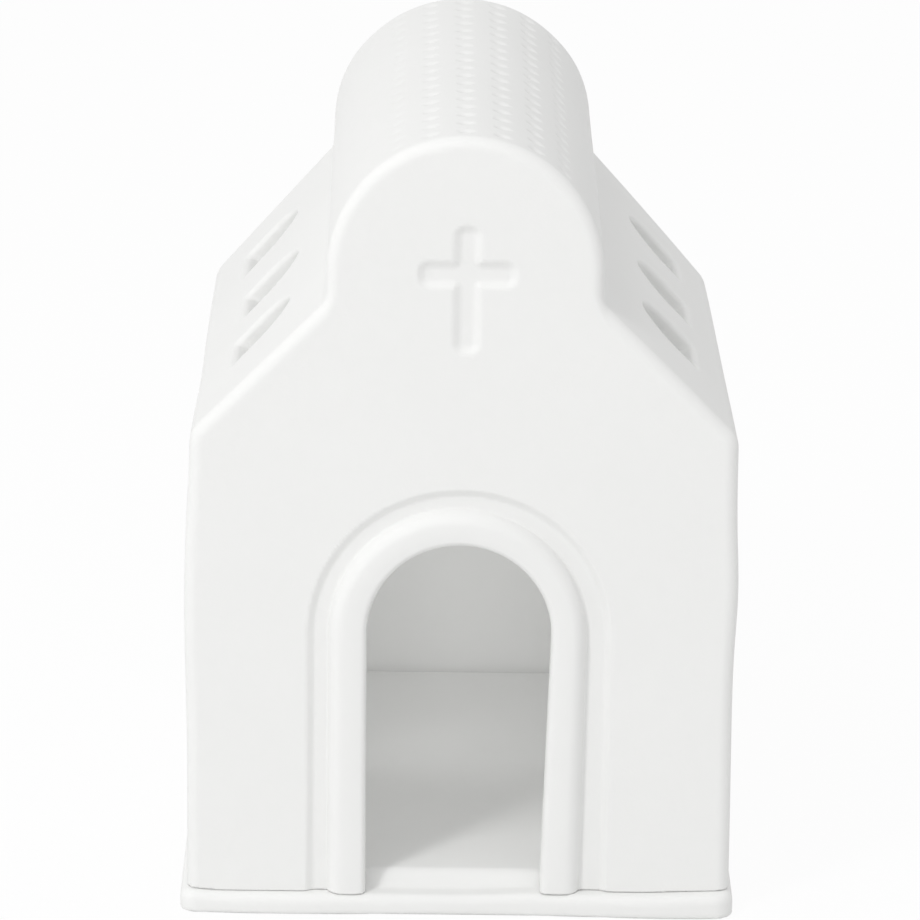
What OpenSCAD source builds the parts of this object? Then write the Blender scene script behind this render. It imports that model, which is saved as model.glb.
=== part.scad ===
// Ceramic chapel for the Christmas village: an open-bottomed house that stands over a base plate.
// The front faces -Y, +Z is up, and the origin is on the ground under the middle of the plate.

/* [House] */
// Width across the side walls
house_w = 120; // [110:1:130]
// Depth from the front face to the back face
house_d = 162; // [145:1:180]
// Height of the side walls, from the foot to the corner of the eaves
wall_h = 104.4; // [98:0.2:108]
// Slope of the roof in degrees
roof_pitch = 45; // [42:1:48]
// Thickness of the ceramic
wall_t = 4.5; // [3.5:0.1:5.5]
// Rounding of the edges round the front and the back
edge_r = 2.8; // [1.5:0.1:3.4]
// Rounding along the eaves
eave_r = 6; // [3:0.5:9]
// Rounding of the outer foot
foot_r = 0.8; // [0.4:0.1:1.2]
// Rounding of the corners inside
inner_r = 2; // [1:0.1:3]

/* [Barrel vault] */
// Outer radius of the vault
vault_r = 30.4; // [28:0.2:32]
// Height of the vault's axis above the foot
vault_axis_h = 140.4; // [138:0.2:143]

/* [Doorway] */
// Width of the opening
door_w = 41; // [36:1:44]
// Height of the springing of the arch above the foot
door_spring_h = 59.2; // [50:0.2:66]
// Width of the roll moulding round the opening
roll_w = 7.4; // [5:0.2:8.4]
// How far the roll stands out from the front face
roll_rise = 1.4; // [0.8:0.1:1.8]
// Width of the sunk band round the roll
band_w = 4.8; // [3:0.2:6]
// Depth of the sunk band
band_depth = 1; // [0.5:0.1:1.5]

/* [Windows] */
// Number of windows in each roof slope
window_count = 3; // [2:1:3]
// Width of a window
window_w = 21.5; // [14:0.5:24]
// Length of a window up the slope, to the top of its arch
window_len = 18; // [14:0.2:22]
// Distance between the middles of neighbouring windows
window_pitch = 42; // [34:1:46]
// Distance from the corner of the eaves up the slope to the sill
sill_up = 11.4; // [9:0.2:14]

/* [Cross] */
// Length of the upright
cross_h = 28.3; // [20:0.1:32]
// Length of the arms from end to end
cross_w = 21; // [15:0.5:25]
// Width of the strokes
cross_stroke = 5; // [3:0.2:6]
// Length of the upright above the middle of the arms
cross_head = 10.5; // [8:0.5:12]
// Depth of the impression
cross_depth = 1; // [0.5:0.1:1.5]

/* [Base plate] */
// Thickness of the plate
plate_t = 4.5; // [4.2:0.1:6]
// How far the plate shows beyond each side wall
plate_side = 1.2; // [0.8:0.1:4]
// How far the plate shows beyond the front and the back
plate_front = 2.4; // [1.9:0.1:6]
// Radius of the plate's corners in plan
plate_corner_r = 4; // [3:0.5:8]
// Rounding of the plate's rim
rim_r = 2; // [1:0.1:2.1]
// Height of the raised floor above the plate
floor_h = 4.4; // [3:0.1:6]
// Rounding of the raised floor's upper edge
floor_edge_r = 1.6; // [0.8:0.1:2.5]
// Gap between the raised floor and the inside of the walls
floor_gap = 0.7; // [0.4:0.1:1.5]
// Width of the ring under the plate that stands on the table
ring_w = 9; // [6:0.5:15]
// Depth of the shallow hollow inside that ring
ring_h = 1.5; // [0.8:0.1:2.5]

/* [Hidden] */
$fn = 64;
over = 1;
glaze = "whitesmoke";
plate_w = house_w + 2 * plate_side;
plate_d = house_d + 2 * plate_front;
inner_w = house_w - 2 * wall_t;
inner_d = house_d - 2 * wall_t;
floor_w = inner_w - 2 * floor_gap;
floor_d = inner_d - 2 * floor_gap;
front_y = -house_d / 2;
door_r = door_w / 2;
roll_r = roll_w / 2;
roll_mid_r = door_r + roll_r;
band_r = door_r + roll_w + band_w;
ridge_h = wall_h + house_w / 2 * tan(roof_pitch);
inner_ridge_h = ridge_h - wall_t / cos(roof_pitch);
reach = house_w + house_d + ridge_h;

// A flat rectangle with round corners, about the origin
module round_rect(w, d, r) {
    square([w - 2 * r, d], center = true);
    square([w, d - 2 * r], center = true);
    for (x = [-1, 1], y = [-1, 1])
        translate([x * (w / 2 - r), y * (d / 2 - r)])
            circle(r);
}

// A post that stands on the plan of round_rect
module post(w, d, h, r) {
    linear_extrude(h)
        round_rect(w, d, r);
}

// A slab with round corners in plan, whose lower and upper edges have the radii low and high
module slab(w, d, h, corner, low, high) {
    rotate([90, 0, 0])
        linear_extrude(d - 2 * corner, center = true)
            slab_section(w, h, low, high);
    rotate([90, 0, 90])
        linear_extrude(w - 2 * corner, center = true)
            slab_section(d, h, low, high);
    for (x = [-1, 1], y = [-1, 1])
        translate([x * (w / 2 - corner), y * (d / 2 - corner), 0])
            rotate_extrude()
                intersection() {
                    slab_section(2 * corner, h, low, high);
                    square([corner, h]);
                }
}

// The upright section of a slab w wide, on height 0
module slab_section(w, h, low, high) {
    translate([-w / 2, low])
        square([w, h - low - high]);
    translate([low - w / 2, 0])
        square([w - 2 * low, h / 2]);
    translate([high - w / 2, h / 2])
        square([w - 2 * high, h / 2]);
    for (s = [-1, 1]) {
        if (low > 0)
            translate([s * (w / 2 - low), low])
                circle(low);
        if (high > 0)
            translate([s * (w / 2 - high), h - high])
                circle(high);
    }
}

// The front view of a gabled body from height 0 up to its ridge, with eaves of radius eave
module gable_outline(w, ridge, eave) {
    // the middle of the rounding and where it meets the slope
    mid_x = w / 2 - eave;
    mid_h = ridge - w / 2 * tan(roof_pitch) - eave * tan(roof_pitch / 2);
    slope_x = mid_x + eave * sin(roof_pitch);
    slope_h = mid_h + eave * cos(roof_pitch);
    polygon([
        [-w / 2, 0],
        [w / 2, 0],
        [w / 2, mid_h],
        [slope_x, slope_h],
        [0, ridge],
        [-slope_x, slope_h],
        [-w / 2, mid_h],
    ]);
    for (s = [-1, 1])
        translate([s * mid_x, mid_h])
            circle(eave);
}

// A gabled body of width w and depth d whose edges round the front and back have radius r
module gabled(w, d, ridge, r, eave) {
    intersection() {
        post(w, d, ridge, r);
        intersection_for (s = [-1, 1])
            translate([0, 0, ridge])
                rotate([0, s * roof_pitch, 0])
                    slope_block(d, reach, r);
        rotate([90, 0, 0])
            linear_extrude(d + 2 * over, center = true)
                gable_outline(w, ridge, eave);
    }
}

// A block whose top lies along a roof slope and whose upper end edges have radius r
module slope_block(d, thick, r) {
    translate([-reach, 0, 0])
        rotate([0, 90, 0])
            linear_extrude(2 * reach)
                translate([thick / 2, 0])
                    round_rect(thick, d, r);
}

// The barrel vault and the straight cheeks under it, with end edges of radius r
module vault(radius, d, axis_h, low_h, r) {
    translate([0, 0, axis_h])
        rotate([90, 0, 0])
            rotate_extrude() {
                translate([0, -d / 2])
                    square([radius - r, d]);
                translate([0, -d / 2 + r])
                    square([radius, d - 2 * r]);
                for (s = [-1, 1])
                    translate([radius - r, s * (d / 2 - r)])
                        circle(r);
            }
    translate([0, 0, low_h])
        post(2 * radius, d, axis_h - low_h, r);
}

// The full outside of the house, with its foot rounded off
module outer_form() {
    intersection() {
        gabled(house_w, house_d, ridge_h, edge_r, eave_r);
        slab(house_w, house_d, ridge_h + over, edge_r, foot_r, 0);
    }
    vault(vault_r, house_d, vault_axis_h, wall_h, edge_r);
}

// The hollow inside, open at the foot, with its upright corners and its eaves rounded
module chamber() {
    intersection() {
        translate([0, 0, -over])
            post(inner_w, inner_d, reach, inner_r);
        rotate([90, 0, 0])
            linear_extrude(inner_d + 2 * over, center = true) {
                translate([0, -over])
                    gable_outline(inner_w, inner_ridge_h + over, inner_r);
                translate([0, wall_h])
                    arch(vault_r - wall_t, vault_axis_h - wall_h);
            }
    }
}

// An upright arch outline that stands on height 0
module arch(r, spring) {
    translate([-r, 0])
        square([2 * r, spring]);
    intersection() {
        translate([0, spring])
            circle(r);
        translate([-r, 0])
            square([2 * r, spring + r]);
    }
}

// Pushes an outline drawn on the front face back into the wall
module cut_from_front(depth) {
    translate([0, front_y + depth, 0])
        rotate([90, 0, 0])
            linear_extrude(depth + over)
                children();
}

// The sunk band round the doorway
module door_band() {
    translate([0, 0, -over])
        cut_from_front(band_depth)
            arch(band_r, door_spring_h + over);
}

module door_opening() {
    translate([0, 0, -over])
        cut_from_front(wall_t + over)
            arch(door_r, door_spring_h + over);
}

// The roll moulding: a round bar that runs up both jambs and over the arch
module door_roll() {
    translate([0, front_y - roll_rise + roll_r, door_spring_h]) {
        rotate([90, 0, 0])
            rotate_extrude(angle = 180)
                translate([roll_mid_r, 0])
                    circle(roll_r);
        for (s = [-1, 1])
            translate([s * roll_mid_r, 0, foot_r - door_spring_h])
                cylinder(door_spring_h - foot_r, roll_r, roll_r);
    }
}

module cross_outline() {
    stroke_r = cross_stroke / 2;
    translate([-stroke_r, cross_head - cross_h + stroke_r])
        square([cross_stroke, cross_h - cross_stroke]);
    translate([-cross_w / 2 + stroke_r, -stroke_r])
        square([cross_w - cross_stroke, cross_stroke]);
    for (y = [cross_head - stroke_r, cross_head - cross_h + stroke_r])
        translate([0, y])
            circle(stroke_r);
    for (s = [-1, 1])
        translate([s * (cross_w / 2 - stroke_r), 0])
            circle(stroke_r);
}

// One window, cut square through the roof slope on side s (-1 left, 1 right)
module roof_window(s, y) {
    translate([s * house_w / 2, y, wall_h])
        rotate([0, 0, s * 90])
            rotate([-roof_pitch, 0, 0])
                translate([0, 0, sill_up])
                    rotate([90, 0, 0])
                        linear_extrude(2 * wall_t + 2 * over, center = true)
                            arch(window_w / 2, window_len - window_w / 2);
}

// The open-bottomed house, with its foot at height 0
module house_body() {
    difference() {
        union() {
            difference() {
                outer_form();
                door_band();
            }
            door_roll();
        }
        chamber();
        door_opening();
        translate([0, 0, vault_axis_h])
            cut_from_front(cross_depth)
                cross_outline();
        for (s = [-1, 1], i = [0:window_count - 1])
            roof_window(s, (i - (window_count - 1) / 2) * window_pitch);
    }
}

module house_shell() {
    color(glaze)
        translate([0, 0, plate_t])
            house_body();
}

// The plate with its raised floor, and a ring to stand on underneath
module base_plate() {
    color(glaze)
        difference() {
            union() {
                slab(plate_w, plate_d, plate_t, plate_corner_r, rim_r, rim_r);
                translate([0, 0, plate_t - rim_r])
                    slab(floor_w, floor_d, rim_r + floor_h, inner_r + floor_edge_r, 0, floor_edge_r);
            }
            translate([0, 0, -over])
                post(plate_w - 2 * ring_w, plate_d - 2 * ring_w, over + ring_h, plate_corner_r);
        }
}

base_plate();
house_shell();
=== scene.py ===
import math
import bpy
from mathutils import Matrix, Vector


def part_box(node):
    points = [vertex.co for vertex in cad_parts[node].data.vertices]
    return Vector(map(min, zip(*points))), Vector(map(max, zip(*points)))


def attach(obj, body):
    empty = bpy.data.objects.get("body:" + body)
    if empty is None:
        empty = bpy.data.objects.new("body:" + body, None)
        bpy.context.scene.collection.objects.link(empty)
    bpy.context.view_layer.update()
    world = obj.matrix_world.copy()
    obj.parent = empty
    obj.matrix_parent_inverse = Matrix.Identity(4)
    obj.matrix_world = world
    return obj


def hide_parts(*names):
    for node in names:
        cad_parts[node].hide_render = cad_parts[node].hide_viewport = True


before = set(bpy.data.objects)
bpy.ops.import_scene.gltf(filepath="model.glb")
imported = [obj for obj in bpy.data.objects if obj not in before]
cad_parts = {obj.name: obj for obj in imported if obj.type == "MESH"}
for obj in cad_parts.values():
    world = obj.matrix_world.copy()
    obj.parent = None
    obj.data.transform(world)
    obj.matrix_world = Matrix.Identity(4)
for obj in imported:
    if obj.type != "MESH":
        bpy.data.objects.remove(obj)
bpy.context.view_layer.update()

from concurrent.futures import ThreadPoolExecutor

import bpy
import numpy as np
from mathutils import Matrix, Vector

scene = bpy.context.scene
scene.view_settings.view_transform = "Standard"
mm = 0.001  # every length below is in millimetres, and the scene is in metres
tiny = 1e-9  # keeps a division from being by zero

# Solids are written as distance formulas: negative inside, positive outside.
# The next two join solids and round the line where their surfaces meet, with radius r.


def joined(a, b, r):
    u = np.maximum(r - a, 0)
    v = np.maximum(r - b, 0)
    return np.maximum(r, np.minimum(a, b)) - np.hypot(u, v)


def common(a, b, r):
    u = np.maximum(r + a, 0)
    v = np.maximum(r + b, 0)
    return np.minimum(-r, np.maximum(a, b)) + np.hypot(u, v)


def roundRect(x, y, halfW, halfD, corner):
    u = np.abs(x) - halfW + corner
    v = np.abs(y) - halfD + corner
    return np.minimum(np.maximum(u, v), 0) + np.hypot(np.maximum(u, 0), np.maximum(v, 0)) - corner


def easeStep(t):
    t = np.clip(t, 0, 1)
    return t * t * (3 - 2 * t)


def bulge(value, middle, reach):
    return np.exp(-(((value - middle) / reach) ** 2))


# A solid becomes a mesh on a grid of equal cells, with one point in each cell that its surface crosses.
# Blocks of span cells a side are looked at first, and only those near the surface are filled in.
meshing = dict(chunk=40000, threads=4, span=8, steepest=1.5, pulls=4, probe=0.02, flattest=0.05)
cellCorners = [(a, b, c) for a in (0, 1) for b in (0, 1) for c in (0, 1)]


def evaluated(field, points):
    chunk = meshing["chunk"]
    parts = [points[:, i:i + chunk] for i in range(0, points.shape[1], chunk)]
    with ThreadPoolExecutor(meshing["threads"]) as pool:
        return np.concatenate(list(pool.map(lambda part: field(*part), parts)))


def sampled(field, low, count, cell):
    span = meshing["span"]
    centres = [low[i] + cell * span * (np.arange(count[i]) + 0.5) for i in range(3)]
    centres = np.meshgrid(*centres, indexing="ij")
    rough = evaluated(field, np.array([m.ravel() for m in centres], np.float32)).reshape(count)
    values = rough
    for axis in range(3):
        values = np.repeat(values, span, axis)
    values = np.pad(values, ((0, 1), (0, 1), (0, 1)), mode="edge")
    near = np.argwhere(np.abs(rough) < meshing["steepest"] * cell * span * math.sqrt(3) / 2)
    steps = np.arange(span + 1)
    inner = np.array([g.ravel() for g in np.meshgrid(steps, steps, steps, indexing="ij")])
    at = (near.T[:, :, None] * span + inner[:, None, :]).reshape(3, -1)
    points = low.astype(np.float32)[:, None] + cell * at.astype(np.float32)
    values[tuple(at)] = evaluated(field, points)
    return values


def slopeOf(field, points, here):
    probe = meshing["probe"]
    sides = []
    for axis in range(3):
        moved = points.copy()
        moved[axis] += probe
        sides.append((evaluated(field, moved) - here) / probe)
    return np.array(sides)


def pulledOnto(field, points, most):
    for _ in range(meshing["pulls"]):
        here = evaluated(field, points)
        slope = slopeOf(field, points, here)
        move = slope * (here / np.maximum((slope ** 2).sum(0), meshing["flattest"]))
        size = np.sqrt((move ** 2).sum(0))
        points = points - move * np.minimum(1, most / np.maximum(size, tiny))
    return points


def crossedCells(inside):
    count = np.zeros([n - 1 for n in inside.shape], np.uint8)
    for a, b, c in cellCorners:
        count += inside[a:a + count.shape[0], b:b + count.shape[1], c:c + count.shape[2]]
    cells = np.argwhere((count > 0) & (count < len(cellCorners)))
    index = np.full(count.shape, -1, np.int32)
    index[tuple(cells.T)] = np.arange(len(cells))
    return cells, index


def pointsInCells(cells, values):
    # the mean of the places where the surface crosses the cell's edges
    at = {c: values[tuple((cells + c).T)] for c in cellCorners}
    total = np.zeros((len(cells), 3))
    hits = np.zeros(len(cells))
    for a in cellCorners:
        for axis in range(3):
            if a[axis]:
                continue
            b = tuple(v + (i == axis) for i, v in enumerate(a))
            crossed = (at[a] < 0) != (at[b] < 0)
            share = np.where(crossed, at[a] / np.where(crossed, at[a] - at[b], 1), 0)
            spot = np.array(a) + share[:, None] * (np.array(b) - a)
            total += np.where(crossed[:, None], spot, 0)
            hits += crossed
    return cells + total / hits[:, None]


def outerTriangles(inside, index):
    # round each grid edge that the surface crosses, two triangles that face outwards
    quads = []
    for axis in range(3):
        u, v = (axis + 1) % 3, (axis + 2) % 3
        here = [slice(None)] * 3
        there = [slice(None)] * 3
        here[axis] = slice(None, -1)
        there[axis] = slice(1, None)
        first, second = inside[tuple(here)], inside[tuple(there)]
        for outward in (True, False):
            edges = np.argwhere(first & ~second if outward else ~first & second)
            ring = []
            for du, dv in ((-1, -1), (0, -1), (0, 0), (-1, 0)):
                shift = np.zeros(3, int)
                shift[u], shift[v] = du, dv
                ring.append(index[tuple((edges + shift).T)])
            quads.append(np.stack(ring if outward else ring[::-1], 1))
    quads = np.concatenate(quads)
    return np.concatenate([quads[:, (0, 1, 2)], quads[:, (0, 2, 3)]])


def meshFrom(name, points, triangles):
    mesh = bpy.data.meshes.new(name)
    mesh.vertices.add(points.shape[1])
    mesh.vertices.foreach_set("co", (points.T * mm).ravel().astype(np.float32))
    mesh.loops.add(triangles.size)
    mesh.loops.foreach_set("vertex_index", triangles.ravel().astype(np.int32))
    mesh.polygons.add(len(triangles))
    mesh.polygons.foreach_set("loop_start", np.arange(0, triangles.size, 3, dtype=np.int32))
    mesh.update(calc_edges=True)
    return mesh


def thinned(piece, share):
    thin = piece.modifiers.new("thin", "DECIMATE")
    thin.ratio = min(1, share)
    graph = bpy.context.evaluated_depsgraph_get()
    mesh = bpy.data.meshes.new_from_object(piece.evaluated_get(graph))
    piece.modifiers.clear()
    piece.data = mesh
    return mesh


def smoothed(mesh, field, most):
    # back onto the surface after the thinning, and shaded by the surface's own slope
    points = np.empty(3 * len(mesh.vertices), np.float32)
    mesh.vertices.foreach_get("co", points)
    points = pulledOnto(field, points.reshape(-1, 3).T / mm, most)
    mesh.vertices.foreach_set("co", (points.T * mm).ravel().astype(np.float32))
    slope = slopeOf(field, points, evaluated(field, points))
    slope /= np.maximum(np.sqrt((slope ** 2).sum(0)), tiny)
    mesh.polygons.foreach_set("use_smooth", np.ones(len(mesh.polygons), bool))
    mesh.normals_split_custom_set_from_vertices(slope.T.tolist())
    mesh.update()


def solidPiece(name, field, low, high, sizes):
    cell = sizes["cell"]
    low = np.array(low, float) - sizes["margin"]
    high = np.array(high, float) + sizes["margin"]
    count = np.ceil((high - low) / (cell * meshing["span"])).astype(int)
    values = sampled(field, low, count, cell)
    cells, index = crossedCells(values < 0)
    points = (low + cell * pointsInCells(cells, values)).T.astype(np.float32)
    triangles = outerTriangles(values < 0, index)
    mesh = meshFrom(name, pulledOnto(field, points, cell), triangles)
    piece = bpy.data.objects.new(name, mesh)
    scene.collection.objects.link(piece)
    mesh = thinned(piece, sizes["faces"] / len(triangles))
    smoothed(mesh, field, cell / 2)
    print(name, "from", len(triangles), "to", len(mesh.polygons), "triangles")
    return piece


# The camera stands in front, a little left of the middle and above, and looks down.
camera = dict(
    place=(-10.3, -1504.3, 479.2),
    down=14.78,
    turn=0.394,
    roll=0.788,
    lens=264.6,
    sensor=36,
    nearest=50,
    farthest=50000,
)


def addCamera():
    data = bpy.data.cameras.new("camera")
    data.lens = camera["lens"]
    data.sensor_width = camera["sensor"]
    data.clip_start = camera["nearest"] * mm
    data.clip_end = camera["farthest"] * mm
    turn, down = math.radians(camera["turn"]), math.radians(camera["down"])
    ahead = Vector((math.sin(turn) * math.cos(down), math.cos(turn) * math.cos(down), -math.sin(down)))
    right = Vector((math.cos(turn), -math.sin(turn), 0))
    up = right.cross(ahead)
    roll = Matrix.Rotation(math.radians(camera["roll"]), 3, "Z")
    axes = Matrix((right, up, -ahead)).transposed() @ roll
    eye = bpy.data.objects.new("camera", data)
    eye.matrix_world = Matrix.Translation(Vector(camera["place"]) * mm) @ axes.to_4x4()
    scene.collection.objects.link(eye)
    scene.camera = eye


addCamera()
print("camera stands")

# Unglazed white porcelain: a fine grain, slow waves left by the sponge, and slight unevenness of tone.
# The noise scales are in repeats to the metre.
bisque = dict(
    color=(0.872, 0.8735, 0.864),
    shade=(0.851, 0.8525, 0.841),
    clouds=28,
    cloudsDetail=4,
    roughness=0.6,
    roughnessSpread=0.06,
    patches=225,
    patchesDetail=3,
    specular=0.3,
    grain=1700,
    grainDepth=0.02,
    waves=75,
    wavesDepth=0.12,
    bumpDetail=2,
)


def whiteBisque():
    material = bpy.data.materials.new("whiteBisque")
    material.use_nodes = True
    nodes, links = material.node_tree.nodes, material.node_tree.links
    shader = nodes["Principled BSDF"]
    place = nodes.new("ShaderNodeTexCoord").outputs["Object"]

    def noise(scale, detail):
        node = nodes.new("ShaderNodeTexNoise")
        node.inputs["Scale"].default_value = scale
        node.inputs["Detail"].default_value = detail
        links.new(place, node.inputs["Vector"])
        return node.outputs["Fac"]

    tone = nodes.new("ShaderNodeMix")
    tone.data_type = "RGBA"
    tone.inputs["A"].default_value = (*bisque["color"], 1)
    tone.inputs["B"].default_value = (*bisque["shade"], 1)
    links.new(noise(bisque["clouds"], bisque["cloudsDetail"]), tone.inputs["Factor"])
    links.new(tone.outputs["Result"], shader.inputs["Base Color"])
    gloss = nodes.new("ShaderNodeMapRange")
    gloss.inputs["To Min"].default_value = bisque["roughness"] - bisque["roughnessSpread"]
    gloss.inputs["To Max"].default_value = bisque["roughness"] + bisque["roughnessSpread"]
    links.new(noise(bisque["patches"], bisque["patchesDetail"]), gloss.inputs["Value"])
    links.new(gloss.outputs["Result"], shader.inputs["Roughness"])
    shader.inputs["Specular IOR Level"].default_value = bisque["specular"]
    height = None
    for kind in ("waves", "grain"):
        bump = nodes.new("ShaderNodeBump")
        bump.inputs["Strength"].default_value = 1
        bump.inputs["Distance"].default_value = bisque[kind + "Depth"] * mm
        links.new(noise(bisque[kind], bisque["bumpDetail"]), bump.inputs["Height"])
        if height:
            links.new(height, bump.inputs["Normal"])
        height = bump.outputs["Normal"]
    links.new(height, shader.inputs["Normal"])
    return material


bisqueMaterial = whiteBisque()
print("porcelain mixed")

# The house: an open-bottomed shell with soft edges everywhere, as it comes from a plaster mould.
shellLow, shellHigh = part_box("house_shell")
house = dict(
    halfW=shellHigh.x / mm,
    halfD=shellHigh.y / mm,
    front=shellLow.y / mm,
    foot=shellLow.z / mm,
    top=shellHigh.z / mm,
    eaves=108.9,
    pitch=45,  # degrees
    vaultR=30.4,
    wall=4.5,
    edgeR=2.8,  # round the front and back faces
    eaveR=6,
    crookR=1.0,  # where the slopes meet the vault
    insideR=4,
    roomRimR=0.4,  # where the openings and the foot meet the room
    footR=0.3,
    footFlare=2.6,
    lipR=1.3,  # round the doorway's hole
    cell=0.62,
    quickCell=1.2,
    faces=190000,
    margin=3,
)
house["vaultAxis"] = house["top"] - house["vaultR"]

# Firing has pulled the clay a little out of true. Towards the back the sides draw in and drop, the foot
# of the vault rises and its crown drops.
backWarp = dict(pull=1.25, dropL=1.3, dropR=2.2, lift=0.9, liftStart=20, liftReach=12, crownDrop=0.3)
# Each side wall: how far it stands out, and a belly at some height. Both fade away from the wall.
walls = dict(
    fade=3,
    left=dict(out=-0.35, belly=0.95, level=70, reach=27),
    right=dict(out=0.22, belly=0.78, level=74, reach=13),
)
# The left eave leans in, most of all before the middle of the house.
eaveLean = dict(front=0.3, fade=0.7, middle=0.3, place=-25, reach=28, low=84, high=104)
# The right slope swells a little, less towards the vault, the eaves, the front and the back.
slopeSwell = dict(out=0.7, fromVault=12, fromEaves=10, turn=0.45)
# Slow waves in every wall: radians to the millimetre, then the phase.
waves = dict(height=0.06, alongX=(0.061, 0.9), upX=(0.053, 0.4), alongY=(0.047, 2.1), upY=(0.067, 1.3))
# The thin gap under the foot waves too, and is wider at the front right corner.
footGap = dict(mean=0.02, alongX=0.11, alongY=0.05, phase=1.0, corner=0.12, cornerStart=55, cornerReach=6)


def unwarped(x, y, z):
    # moves a point of the real house to where it lies on a true one
    right = x > 0
    back = np.clip((y + house["halfD"]) / (2 * house["halfD"]), 0, 1)
    side = np.clip((np.abs(x) - house["vaultR"]) / (house["halfW"] - house["vaultR"]), 0, 1)
    level = np.clip(z / house["eaves"], 0, 1)

    def standsOut(wall):
        return wall["out"] + wall["belly"] * bulge(z, wall["level"], wall["reach"])

    out = np.where(right, standsOut(walls["right"]), standsOut(walls["left"]))
    out = out * np.clip(np.abs(x) / house["halfW"], 0, 1) ** walls["fade"]
    lean = eaveLean["front"] * (1 - back) ** eaveLean["fade"]
    lean = lean + eaveLean["middle"] * bulge(y, eaveLean["place"], eaveLean["reach"])
    lean = lean * easeStep((z - eaveLean["low"]) / (eaveLean["high"] - eaveLean["low"]))
    lean = lean * np.where(right, 0, easeStep(-x / house["vaultR"]))
    trueX = x + np.sign(x) * (back * side * backWarp["pull"] - out) - lean
    fall = np.where(right, backWarp["dropR"], backWarp["dropL"]) * side * level
    rise = backWarp["lift"] * easeStep((np.abs(x) - backWarp["liftStart"]) / backWarp["liftReach"])
    rise = rise * (1 - side)
    crown = backWarp["crownDrop"] * back * np.clip((z - house["vaultAxis"]) / house["vaultR"], 0, 1)
    return trueX, z + back ** 2 * (fall - rise) + crown


def waver(x, y, z):
    def wave(value, kind):
        rate, phase = waves[kind]
        return np.sin(rate * value + phase)

    return wave(x, "alongX") * wave(z, "upX") + wave(y, "alongY") * wave(z, "upY")


# The front right of the plate has risen a little, and the corner more, and the house's foot with it.
# The left corner has risen less. All of it is full from frontAt forwards, and fades out at the middle.
frontRise = dict(
    start=0,
    reach=18,
    rise=0.5,
    cornerStart=38,
    cornerReach=26,
    cornerRise=0.7,
    leftStart=52,
    leftReach=8,
    leftRise=0.4,
    frontAt=60,
)


def frontRisen(x, y):
    right = frontRise["rise"] * easeStep((x - frontRise["start"]) / frontRise["reach"])
    corner = frontRise["cornerRise"] * easeStep((x - frontRise["cornerStart"]) / frontRise["cornerReach"])
    left = frontRise["leftRise"] * easeStep((-x - frontRise["leftStart"]) / frontRise["leftReach"])
    return (right + corner + left) * easeStep(-y / frontRise["frontAt"])


def gableDistance(offAxis, z):
    # flat wall, flat slope and the round eave between them
    turn = math.radians(house["pitch"])
    r = house["eaveR"]
    u = offAxis - (house["halfW"] - r)
    v = z - (house["eaves"] - r * math.tan(turn / 2))
    wall = offAxis - house["halfW"]
    slope = (offAxis - house["halfW"]) * math.sin(turn) + (z - house["eaves"]) * math.cos(turn)
    return np.where((v > 0) & (v < u), np.hypot(u, v) - r, np.maximum(wall, slope)), slope


def outlineDistance(x, y, offAxis, z):
    # walls, slopes and vault all along the house, and the distance to the slopes alone
    gable, slope = gableDistance(offAxis, z)
    middle = easeStep((offAxis - house["vaultR"]) / slopeSwell["fromVault"])
    middle = middle * easeStep((house["halfW"] - offAxis) / slopeSwell["fromEaves"])
    along = np.cos(slopeSwell["turn"] * np.pi * y / house["halfD"])
    swell = slopeSwell["out"] * middle * along * easeStep(x / house["vaultR"])
    vault = np.hypot(offAxis, np.maximum(z - house["vaultAxis"], 0)) - house["vaultR"]
    return joined(gable - swell, vault, house["crookR"]), slope - swell


# Pressed dimples in rows along the vault, each row with its own strength from left to right.
dimples = dict(
    rowAngle=15,
    rows=(0.2, 0.45, 0.9, 1, 1, 1, 0.85),
    count=18,
    pitch=8.7,
    halfAcross=2.4,
    halfAlong=2.6,
    depth=0.5,
)


def dentInVault(x, y, z):
    around = np.arctan2(x, z - house["vaultAxis"])
    step = math.radians(dimples["rowAngle"])
    most = (len(dimples["rows"]) - 1) / 2
    row = np.clip(np.round(around / step), -most, most)
    strength = np.interp(row, np.arange(len(dimples["rows"])) - most, dimples["rows"])
    last = (dimples["count"] - 1) / 2
    spot = np.clip(np.round(y / dimples["pitch"] - 0.5) + 0.5, -last, last)
    across = (around - row * step) * house["vaultR"] / dimples["halfAcross"]
    along = (y - spot * dimples["pitch"]) / dimples["halfAlong"]
    bowl = np.maximum(1 - across ** 2 - along ** 2, 0)
    return np.where(z > house["vaultAxis"], dimples["depth"] * strength * bowl * bowl, 0)


# The doorway: a roll moulding round the opening and a sunk band round the roll.
# The hole is set a little off the roll's middle, and both jambs lean below leanTop.
doorway = dict(
    middle=-0.55,
    halfW=20.35,
    spring=64.0,  # where the arch starts
    holeShift=0.35,
    holeTight=0.15,
    holeRaise=0.3,
    holeDepth=18,
    rollW=7.8,
    rollRise=2.15,
    rollCrown=0.4,
    rollEdge=2.9,
    groove=0.6,  # where the roll meets the band
    bandEdge=11.75,
    bandShift=0.55,  # farther out on the right
    bandDepth=1.25,
    bandSlope=2.0,
    leanL=0.2,
    leanR=1.9,
    leanTop=62,
)
cross = dict(
    middle=0.6,
    armLevel=145,
    top=155.2,
    foot=127.9,
    halfSpan=10.15,
    halfStroke=2.25,
    tipR=1.8,
    crookR=0.8,
    depth=1.0,
    slope=2.4,
)


def fromDoorAxis(x, z):
    # how far a point is across from the doorway's axis, and above the foot of its arch
    low = np.clip((doorway["leanTop"] - z) / doorway["leanTop"], 0, 1)
    across = x - doorway["middle"]
    lean = np.where(across > 0, doorway["leanR"], -doorway["leanL"]) * low
    lean = lean * np.clip(1 - (np.abs(across) - doorway["halfW"]) / doorway["bandEdge"], 0, 1)
    return across + lean, np.maximum(z - doorway["spring"], 0)


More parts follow.
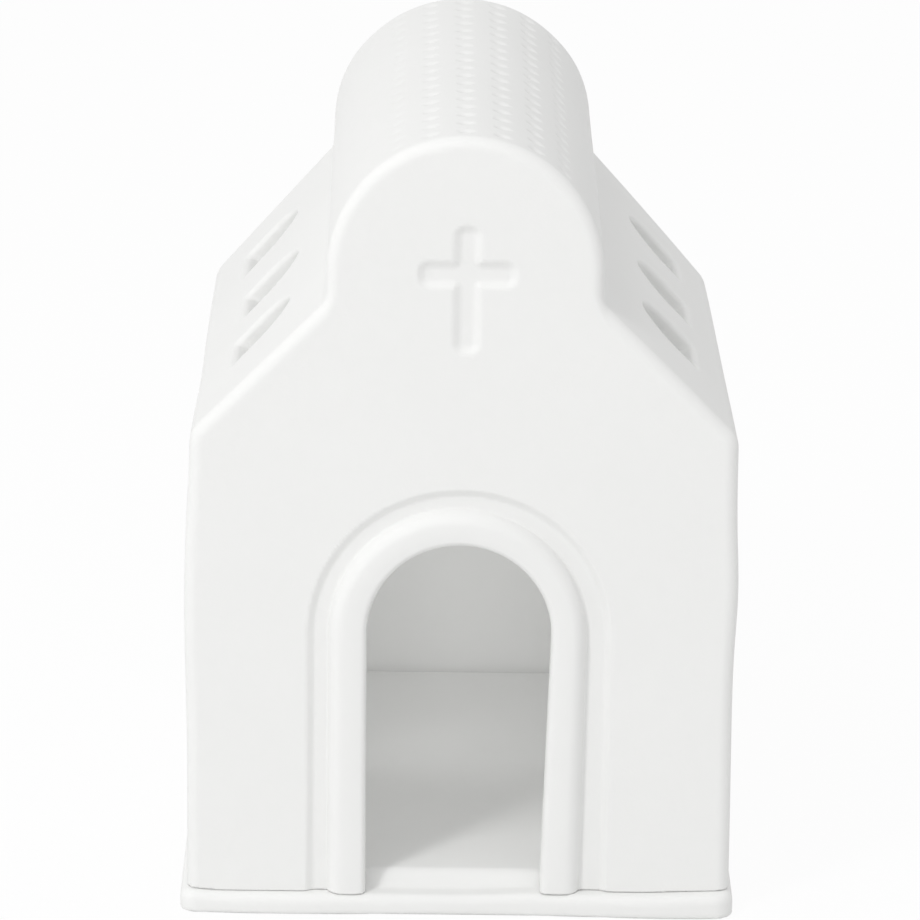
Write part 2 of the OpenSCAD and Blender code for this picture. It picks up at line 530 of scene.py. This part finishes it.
def dentInFront(x, z, door):
    # how deep the sunk band and the cross are pressed into the front face
    # door is how far a point lies outside the doorway's outline
    edge = doorway["bandEdge"] + doorway["bandShift"] * np.maximum(x, 0) / doorway["halfW"]
    band = easeStep((edge - door) / doorway["bandSlope"] + 0.5)
    level = (cross["top"] + cross["foot"]) / 2
    halfH = (cross["top"] - cross["foot"]) / 2
    aside = x - cross["middle"]
    upright = roundRect(aside, z - level, cross["halfStroke"], halfH, cross["tipR"])
    arms = roundRect(aside, z - cross["armLevel"], cross["halfSpan"], cross["halfStroke"], cross["tipR"])
    pressed = easeStep(0.5 - joined(upright, arms, cross["crookR"]) / cross["slope"])
    return doorway["bandDepth"] * band + cross["depth"] * pressed


def rollDistance(y, door):
    # the roll is a little fuller in the middle than at its edges
    half = doorway["rollW"] / 2
    crown = doorway["rollRise"] - doorway["rollCrown"] * (door / half - 1) ** 2
    roll = common(door - doorway["rollW"], -y - house["halfD"] - crown, doorway["rollEdge"])
    return np.maximum(roll, np.maximum(-door - half, y + house["halfD"] - house["wall"] / 2))


def doorHole(across, above, y):
    above = np.maximum(above - doorway["holeRaise"], 0)
    hole = np.hypot(across - doorway["holeShift"], above) - doorway["halfW"] + doorway["holeTight"]
    return np.maximum(hole, y + house["halfD"] - doorway["holeDepth"])


# Three windows in each slope, measured up the slope from the eaves. Their cuts widen outwards by the
# drafts. What is set one by one has its own values for each side, and from front to rear for each window.
windows = dict(
    count=3,
    pitch=42,
    halfW=10.75,
    top=29.4,
    edgeR=0.8,
    farR=1.3,  # the edge's radius at the rear end
    sillSoft=1.4,  # and at the sill, up to sillReach over it
    sillReach=3,
    cornerR=1.2,
    cutHalf=9,
    left=dict(sill=11.7, draft=0.23, sillDraft=0.5, lean=0.1, nudge=(1, -0.5, 4), lift=(-0.3, 1.4, 0)),
    right=dict(sill=12.8, draft=0.08, sillDraft=0.2, lean=0, nudge=(1.5, -0.5, 2.5), lift=(-1, -1, -0.5)),
)


def windowHole(x, y, offAxis, z, slope):
    # the distance to the nearest window's cut, and how round its edge is there
    tilt = math.radians(house["pitch"])
    up = (house["halfW"] - offAxis) * math.cos(tilt) + (z - house["eaves"]) * math.sin(tilt)
    reach = (windows["count"] - 1) / 2
    which = np.clip(np.round(y / windows["pitch"] + reach % 1) - reach % 1, -reach, reach)
    spots = np.arange(windows["count"]) - reach

    def bySide(key):
        return np.where(x > 0, windows["right"][key], windows["left"][key])

    def byWindow(key):
        right = np.interp(which, spots, windows["right"][key])
        return np.where(x > 0, right, np.interp(which, spots, windows["left"][key]))

    up = up - byWindow("lift")
    sill = bySide("sill")
    arch = windows["top"] - windows["halfW"]
    across = y - which * windows["pitch"] - byWindow("nudge") - bySide("lean") * (up - arch)
    inward = np.maximum(-slope, 0)
    hole = np.hypot(across, np.maximum(up - arch, 0)) - windows["halfW"] + bySide("draft") * inward
    hole = common(hole, sill - up + bySide("sillDraft") * inward, windows["cornerR"])
    hole = np.maximum(hole, np.abs(slope + house["wall"] / 2) - windows["cutHalf"])
    soft = (windows["farR"] - windows["edgeR"]) * easeStep(across / windows["halfW"])
    low = easeStep((sill + windows["sillReach"] - up) / windows["sillReach"])
    soft = np.maximum(soft, (windows["sillSoft"] - windows["edgeR"]) * low)
    return hole, windows["edgeR"] + soft


def houseField(x, y, z):
    trueX, trueZ = unwarped(x, y, z)
    offAxis = np.abs(trueX)

    # outside, with what is pressed into it and the roll that stands on it
    outline, slope = outlineDistance(x, y, offAxis, trueZ)
    outside = common(outline, np.abs(y) - house["halfD"], house["edgeR"])
    outside = outside + waves["height"] * waver(x, y, z)
    across, above = fromDoorAxis(trueX, trueZ)
    door = np.hypot(across, above) - doorway["halfW"]
    outside = outside + np.where(y < 0, dentInFront(trueX, trueZ, door), 0) + dentInVault(trueX, y, trueZ)
    solid = joined(outside, rollDistance(y, door), doorway["groove"])

    # openings
    solid = common(solid, -doorHole(across, above, y), house["lipR"])
    window, windowEdge = windowHole(x, y, offAxis, trueZ, slope)
    solid = common(solid, -window, windowEdge)

    # the room, wider at its foot to clear the plate's crease
    foot = house["foot"] + frontRisen(x, y)
    room = common(outline + house["wall"], np.abs(y) - house["halfD"] + house["wall"], house["insideR"])
    room = room - np.maximum(foot + house["footFlare"] - z, 0)
    solid = common(solid, -room, house["roomRimR"])

    # cut level at the foot, with a thin uneven gap over the plate
    wave = np.sin(footGap["alongX"] * x + footGap["alongY"] * y + footGap["phase"])
    foot = foot + footGap["mean"] * (1 + wave)
    corner = easeStep((x - footGap["cornerStart"]) / footGap["cornerReach"])
    foot = foot + footGap["corner"] * corner * easeStep(-y / frontRise["frontAt"])
    return common(solid, foot - z, house["footR"])


def buildHouse():
    low = (-house["halfW"], house["front"], house["foot"])
    high = (house["halfW"], house["halfD"], house["top"])
    piece = solidPiece("house", houseField, low, high, house)
    piece.data.materials.append(bisqueMaterial)
    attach(piece, "house")
    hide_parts("house_shell")


buildHouse()
print("house stands")

# The base plate: a soft-rimmed slab, the raised floor on it and a foot ring underneath.
# The floor tilts down to the front, and the front edge swells out a little in two places.
_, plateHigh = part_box("base_plate")
plate = dict(
    halfW=plateHigh.x / mm,
    halfD=plateHigh.y / mm,
    thickness=4.5,
    cornerR=4,
    rimR=2.1,
    underR=1.0,  # the rim's lower edge
    floorHalfW=53.9,
    floorHalfD=76.1,
    floorTop=plateHigh.z / mm,
    floorCornerR=4,
    floorTilt=0.65,
    floorSag=0.15,
    floorEdgeR=2.6,
    creaseR=2.4,  # where the floor rises from the slab
    ringW=9,  # the foot ring
    ringDepth=1.5,
    ringEdgeR=0.6,
    swells=(dict(out=0.9, middle=-37, reach=17), dict(out=1.3, middle=46, reach=21)),
    swellStart=40,
    swellReach=30,
    swellDrop=4,
    cell=0.62,
    quickCell=1.2,
    faces=60000,
    margin=2,
)


def plateField(x, y, z):
    for swell in plate["swells"]:
        front = easeStep((-y - plate["swellStart"]) / plate["swellReach"])
        below = easeStep((plate["floorTop"] - z) / plate["swellDrop"])
        y = y + swell["out"] * bulge(x, swell["middle"], swell["reach"]) * front * below
    slab = roundRect(x, y, plate["halfW"], plate["halfD"], plate["cornerR"])
    slab = common(slab, z - plate["thickness"] - frontRisen(x, y), plate["rimR"])
    slab = common(slab, -z, plate["underR"])
    top = plate["floorTop"] + plate["floorTilt"] * y / plate["floorHalfD"] - plate["floorSag"]
    raised = roundRect(x, y, plate["floorHalfW"], plate["floorHalfD"], plate["floorCornerR"])
    raised = common(raised, np.maximum(z - top, plate["thickness"] / 2 - z), plate["floorEdgeR"])
    ringW = plate["ringW"]
    hollow = roundRect(x, y, plate["halfW"] - ringW, plate["halfD"] - ringW, plate["cornerR"])
    hollow = common(hollow, z - plate["ringDepth"], plate["ringEdgeR"])
    return common(joined(slab, raised, plate["creaseR"]), -hollow, plate["ringEdgeR"])


def buildPlate():
    low = (-plate["halfW"], -plate["halfD"], 0)
    high = (plate["halfW"], plate["halfD"], plate["floorTop"])
    piece = solidPiece("basePlate", plateField, low, high, plate)
    piece.data.materials.append(bisqueMaterial)
    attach(piece, "base")
    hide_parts("base_plate")


buildPlate()
print("base plate lies")

# A wide white floor, which the camera sees almost as bright as paper, with the house's shadow on it.
stage = dict(half=6000, color=(0.85, 0.85, 0.85), paper=0.94)


def addFloor():
    half = stage["half"] * mm
    mesh = bpy.data.meshes.new("floor")
    corners = [(-half, -half, 0), (half, -half, 0), (half, half, 0), (-half, half, 0)]
    mesh.from_pydata(corners, [], [(0, 1, 2, 3)])
    floor = bpy.data.objects.new("floor", mesh)
    scene.collection.objects.link(floor)
    material = bpy.data.materials.new("paperFloor")
    material.use_nodes = True
    nodes, links = material.node_tree.nodes, material.node_tree.links
    matt = nodes["Principled BSDF"]
    matt.inputs["Base Color"].default_value = (*stage["color"], 1)
    matt.inputs["Roughness"].default_value = 1
    matt.inputs["Specular IOR Level"].default_value = 0
    glow = nodes.new("ShaderNodeEmission")
    glow.inputs["Strength"].default_value = 1
    path = nodes.new("ShaderNodeLightPath")
    ray = path.outputs["Is Camera Ray"]
    for kind in ("Is Glossy Ray", "Is Transmission Ray"):
        either = nodes.new("ShaderNodeMath")
        either.operation = "MAXIMUM"
        links.new(ray, either.inputs[0])
        links.new(path.outputs[kind], either.inputs[1])
        ray = either.outputs["Value"]
    seen = nodes.new("ShaderNodeMath")
    seen.operation = "MULTIPLY"
    seen.inputs[1].default_value = stage["paper"]
    links.new(ray, seen.inputs[0])
    mix = nodes.new("ShaderNodeMixShader")
    links.new(seen.outputs["Value"], mix.inputs["Fac"])
    links.new(matt.outputs["BSDF"], mix.inputs[1])
    links.new(glow.outputs["Emission"], mix.inputs[2])
    links.new(mix.outputs["Shader"], nodes["Material Output"].inputs["Surface"])
    mesh.materials.append(material)


addFloor()
print("floor laid")

# An even room, a tall key from the upper left in front, a weak lamp on the left, and three faint lamps
# inside the house, one for its back wall and two for its floor. Powers are in watts.
lights = dict(
    room=0.75,
    lamps=dict(
        key=dict(place=(-607, -935, 1084), aim=(0, 0, 80), wide=220, tall=1050, power=7.2),
        side=dict(place=(-1896, -166, 968), aim=(0, 0, 80), wide=1000, tall=1000, power=2.5),
        back=dict(place=(0, -72, 95), aim=(0, 74.5, 26), wide=20, tall=20, power=0.0057, spread=65),
        over=dict(place=(0, 0, 114), aim=(0, 0, 0), wide=50, tall=50, power=0.012),
        near=dict(place=(0, -45, 112), aim=(0, -45, 0), wide=70, tall=50, power=0.0107),
    ),
)


def addLamp(name, place, aim, wide, tall, power, spread=180):
    data = bpy.data.lights.new(name, "AREA")
    data.shape = "RECTANGLE"
    data.size = wide * mm
    data.size_y = tall * mm
    data.energy = power
    data.spread = math.radians(spread)
    lamp = bpy.data.objects.new(name, data)
    lamp.location = Vector(place) * mm
    lamp.rotation_euler = (Vector(aim) - Vector(place)).to_track_quat("-Z", "Y").to_euler()
    lamp.visible_camera = False
    scene.collection.objects.link(lamp)


def addLights():
    world = bpy.data.worlds.new("room")
    world.use_nodes = True
    background = world.node_tree.nodes["Background"]
    background.inputs["Color"].default_value = (1, 1, 1, 1)
    background.inputs["Strength"].default_value = lights["room"]
    scene.world = world
    for name, lamp in lights["lamps"].items():
        addLamp(name, **lamp)


addLights()
print("lights on")
